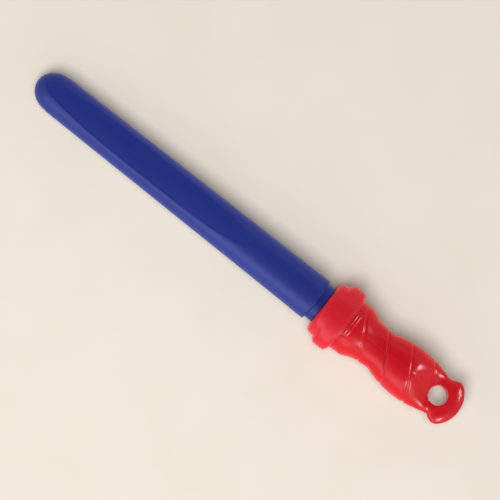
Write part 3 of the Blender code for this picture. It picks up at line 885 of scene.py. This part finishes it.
class Nodes:
    """Small helper that adds and links shader nodes."""

    def __init__(self, name):
        self.material = bpy.data.materials.new(name)
        self.material.use_nodes = True
        self.tree = self.material.node_tree
        self.shader = self.tree.nodes["Principled BSDF"]

    def add(self, kind, inputs=None, **settings):
        node = self.tree.nodes.new(kind)
        for key, value in settings.items():
            setattr(node, key, value)
        for key, value in (inputs or {}).items():
            self.feed(node.inputs[key], value)
        return node

    def feed(self, socket, value):
        if isinstance(value, bpy.types.NodeSocket):
            self.tree.links.new(value, socket)
        else:
            socket.default_value = value

    def place(self, scale=(1, 1, 1)):
        """Object coordinates, stretched by a scale."""
        coordinates = self.add("ShaderNodeTexCoord").outputs["Object"]
        return self.add("ShaderNodeMapping", {"Vector": coordinates, "Scale": scale}).outputs["Vector"]

    def noise(self, size, detail, stretch=(1, 1, 1)):
        """Noise whose features are about the given size in metres."""
        inputs = {"Vector": self.place(stretch), "Scale": 1 / size, "Detail": detail}
        return self.add("ShaderNodeTexNoise", inputs).outputs["Fac"]

    def span(self, value, low, high, start=0.3, end=0.7):
        """Low up to start, high from end, and even between them."""
        inputs = {"Value": value, "From Min": start, "From Max": end, "To Min": low, "To Max": high}
        return self.add("ShaderNodeMapRange", inputs).outputs["Result"]

    def colour(self, share, colours):
        """Give the shader a colour between two 8-bit sRGB ones."""
        node = self.add("ShaderNodeMix", data_type="RGBA")
        self.feed(node.inputs["Factor"], share)
        self.feed(node.inputs["A"], srgb(colours[0]))
        self.feed(node.inputs["B"], srgb(colours[1]))
        self.give("Base Color", node.outputs["Result"])

    def give(self, name, value):
        """Set or link an input of the shader."""
        self.feed(self.shader.inputs[name], value)

    def bump(self, height, distance, normal=None):
        inputs = {"Height": height, "Distance": distance, "Strength": 1.0}
        if normal is not None:
            inputs["Normal"] = normal
        return self.add("ShaderNodeBump", inputs).outputs["Normal"]


def glossy_red(name, colours, roughness):
    """Injection-moulded polyethylene: even colour, slight flow marks, fine surface grain."""
    nodes = Nodes(name)
    drift = nodes.noise(size=26 * MM, detail=3)
    nodes.colour(nodes.span(drift, 0.0, 1.0), colours)
    haze = nodes.noise(size=7 * MM, detail=4)
    nodes.give("Roughness", nodes.span(haze, roughness - 0.04, roughness + 0.05))
    grain = nodes.noise(size=0.9 * MM, detail=3)
    fine = nodes.bump(grain, distance=0.006 * MM)
    flow = nodes.noise(size=9 * MM, detail=2, stretch=(0.4, 1, 1))
    nodes.give("Normal", nodes.bump(flow, distance=0.05 * MM, normal=fine))
    nodes.give("Specular IOR Level", RED_SPECULAR)
    return nodes.material


def satin_blue(name):
    """Blow-moulded polyethylene: satin, with faint die lines along the tube and a fine mould grain."""
    nodes = Nodes(name)
    drift = nodes.noise(size=30 * MM, detail=3, stretch=(0.35, 1, 1))
    nodes.colour(nodes.span(drift, 0.0, 1.0), TUBE_BLUES)
    haze = nodes.noise(size=9 * MM, detail=4, stretch=(0.3, 1, 1))
    nodes.give("Roughness", nodes.span(haze, *TUBE_ROUGHNESS))
    grain = nodes.noise(size=0.55 * MM, detail=3)
    fine = nodes.bump(grain, distance=0.014 * MM)
    die_lines = nodes.noise(size=1.6 * MM, detail=2, stretch=(0.03, 1, 1))
    lined = nodes.bump(die_lines, distance=0.02 * MM, normal=fine)
    waves = nodes.noise(size=14 * MM, detail=1, stretch=(0.5, 1, 1))
    nodes.give("Normal", nodes.bump(waves, distance=0.08 * MM, normal=lined))
    nodes.give("Specular IOR Level", BLUE_SPECULAR)
    return nodes.material


def foam(name):
    """Closed-cell foam of the seal."""
    nodes = Nodes(name)
    inputs = {"Vector": nodes.place(), "Scale": 1 / FOAM_CELL}
    cells = nodes.add("ShaderNodeTexVoronoi", inputs).outputs["Distance"]
    nodes.colour(nodes.span(cells, 0.0, 1.0, start=0.0, end=0.8), FOAM_COLOURS)
    nodes.give("Roughness", nodes.span(cells, *FOAM_ROUGHNESS))
    nodes.give("Normal", nodes.bump(cells, distance=0.08 * MM))
    return nodes.material


def paper(name):
    """Plain pale floor."""
    nodes = Nodes(name)
    drift = nodes.noise(size=60 * MM, detail=3)
    nodes.colour(nodes.span(drift, 0.0, 1.0), FLOOR_COLOURS)
    nodes.give("Roughness", FLOOR_ROUGHNESS)
    nodes.give("Specular IOR Level", FLOOR_SPECULAR)
    return nodes.material


# ---------------------------------------------------------------- studio

def make_floor():
    """A plane under the guard and the dome, clear of the parting line, as the object lies on it."""
    guard_x = TIP + GUARD_CONTACT
    slope = (AXIS_Z - DOME_RADIUS) / (guard_x - (TIP + DOME_CONTACT))
    corners = []
    for x, y in ((-1, -1), (1, -1), (1, 1), (-1, 1)):
        height = -slope * (x * FLOOR_REACH - guard_x) - 2 * PARTING_RISE
        corners.append((x * FLOOR_REACH, y * FLOOR_REACH, height))
    mesh = bpy.data.meshes.new("floor")
    mesh.from_pydata(corners, [], [(0, 1, 2, 3)])
    floor = new_object("floor", mesh)
    floor.data.materials.append(paper("floor_paper"))
    return floor


def area_light(name, place, size, power, lit, target=(0, 0, 0)):
    """A rectangular light that shines only on the lit objects, and is shadowed by all."""
    light = bpy.data.lights.new(name, "AREA")
    light.shape = "RECTANGLE"
    light.size, light.size_y = size
    light.energy = power
    thing = new_object(name, light)
    thing.location = place
    thing.rotation_euler = (Vector(target) - Vector(place)).to_track_quat("-Z", "Y").to_euler()
    receivers = bpy.data.collections.new(name + "_receivers")
    for receiver in lit:
        receivers.objects.link(receiver)
    thing.light_linking.receiver_collection = receivers
    thing.visible_camera = False
    return thing


def make_world():
    """A light tent: bright towards -Y, dimmer behind the object, dark straight overhead."""
    world = bpy.data.worlds.new("studio")
    bpy.context.scene.world = world
    world.use_nodes = True
    tree = world.node_tree

    def node(kind, inputs, **settings):
        new = tree.nodes.new(kind)
        for key, value in settings.items():
            setattr(new, key, value)
        for key, value in inputs.items():
            if isinstance(value, bpy.types.NodeSocket):
                tree.links.new(value, new.inputs[key])
            else:
                new.inputs[key].default_value = value
        return new

    direction = tree.nodes.new("ShaderNodeTexCoord").outputs["Generated"]
    towards = node(
        "ShaderNodeVectorMath",
        {0: direction, 1: TENT_BRIGHT_SIDE},
        operation="DOT_PRODUCT",
    )
    side = node(
        "ShaderNodeMapRange",
        {"Value": towards.outputs["Value"], "From Min": TENT_SIDE_SPAN[0], "From Max": TENT_SIDE_SPAN[1],
         "To Min": TENT_DIM, "To Max": TENT_BRIGHT},
        interpolation_type="SMOOTHSTEP",
    )
    overhead = node(
        "ShaderNodeVectorMath",
        {0: direction, 1: TENT_GAP_DIRECTION},
        operation="DOT_PRODUCT",
    )
    gap = node(
        "ShaderNodeMapRange",
        {"Value": overhead.outputs["Value"], "From Min": TENT_GAP_SPAN[0], "From Max": TENT_GAP_SPAN[1],
         "To Min": 1.0, "To Max": TENT_TOP},
        interpolation_type="SMOOTHSTEP",
    )
    level = node(
        "ShaderNodeMath",
        {0: side.outputs["Result"], 1: gap.outputs["Result"]},
        operation="MULTIPLY",
    )
    background = tree.nodes["Background"]
    tree.links.new(level.outputs["Value"], background.inputs["Strength"])
    background.inputs["Color"].default_value = TENT_COLOUR


def make_camera():
    """The photo's view: from above, a little towards -Y, with the handle down to the right."""
    along = Vector((1, 0, 0))
    across = Vector((0, math.cos(CAMERA_TILT), math.sin(CAMERA_TILT)))
    back = Vector((0, -math.sin(CAMERA_TILT), math.cos(CAMERA_TILT)))
    right = along * math.cos(CAMERA_TURN) + across * math.sin(CAMERA_TURN)
    up = across * math.cos(CAMERA_TURN) - along * math.sin(CAMERA_TURN)
    data = bpy.data.cameras.new("camera")
    data.sensor_width = SENSOR_WIDTH
    data.lens = data.sensor_width * CAMERA_DISTANCE / VIEW_WIDTH
    camera = new_object("camera", data)
    centre = Vector((TIP + VIEW_CENTRE, 0, AXIS_Z)) - across * VIEW_OFFSET
    rotation = Matrix((right, up, back)).transposed()
    camera.matrix_world = Matrix.Translation(centre + back * CAMERA_DISTANCE) @ rotation.to_4x4()
    bpy.context.scene.camera = camera


def make_pieces():
    """Every piece, with its material, on its body and in place of its CAD node."""
    grip_red = glossy_red("red_polyethylene", GRIP_REDS, HANDLE_ROUGHNESS)
    # A lighter copy of the grip's red for the collar: painted highlight, not a different plastic colour
    collar_red_painted_highlight = glossy_red("collar_polyethylene_painted_highlight", COLLAR_HIGHLIT_REDS, HANDLE_ROUGHNESS)
    wand_red = glossy_red("wand_red", WAND_REDS, WAND_ROUGHNESS)
    blue = satin_blue("blue_polyethylene")
    plan = (
        (make_tube, blue, "tube", "tube", "blue_plastic"),
        (make_collar, collar_red_painted_highlight, "screw_collar", "handle", "red_plastic"),
        (make_grip, grip_red, "grip_shell", "handle", "red_plastic"),
        (make_seal, foam("seal_foam"), "seal_washer", "seal", "seal_foam"),
        (make_wand, wand_red, "bubble_wand", "handle", "wand_plastic"),
    )
    pieces = []
    for make, material, node, body, slot in plan:
        piece = make()
        pieces.append(piece)
        piece.data.materials.clear()
        piece.data.materials.append(material)
        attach(piece, body)
        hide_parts(node)
    return pieces


def make_lights(floor, pieces):
    """One light for the floor, reflections that show the object's relief, and a fill from behind."""
    overhead = (0.1, -0.55, 2.0)
    area_light("floor_light", overhead, size=(0.8, 1.3), power=104, lit=[floor], target=(0.1, 0, 0))
    sheens = [area_light("side_panel", (0.0, -1.4, 0.5), size=(1.8, 0.75), power=9, lit=pieces)]
    ears = Vector((TIP + EARS, 0, AXIS_Z))
    for side in (-1, 1):
        far = (1.05, 0.6 * side, 0.5)
        near = ears + Vector((0.17, 0.15 * side, 0.16))
        sheens += [
            area_light("end_light", far, size=(0.16, 0.3), power=1.5, lit=pieces, target=(0.12, 0, 0)),
            area_light("ear_light", near, size=(0.12, 0.06), power=1.1, lit=pieces, target=ears),
        ]
    for light in sheens:
        light.visible_diffuse = False
    fill = area_light("fill", (0.1, 1.35, 0.6), size=(1.6, 0.6), power=10, lit=pieces)
    fill.visible_glossy = False


def main():
    pieces = make_pieces()
    floor = make_floor()
    make_world()
    make_lights(floor, pieces)
    make_camera()
    bpy.context.scene.view_settings.view_transform = "Standard"


main()
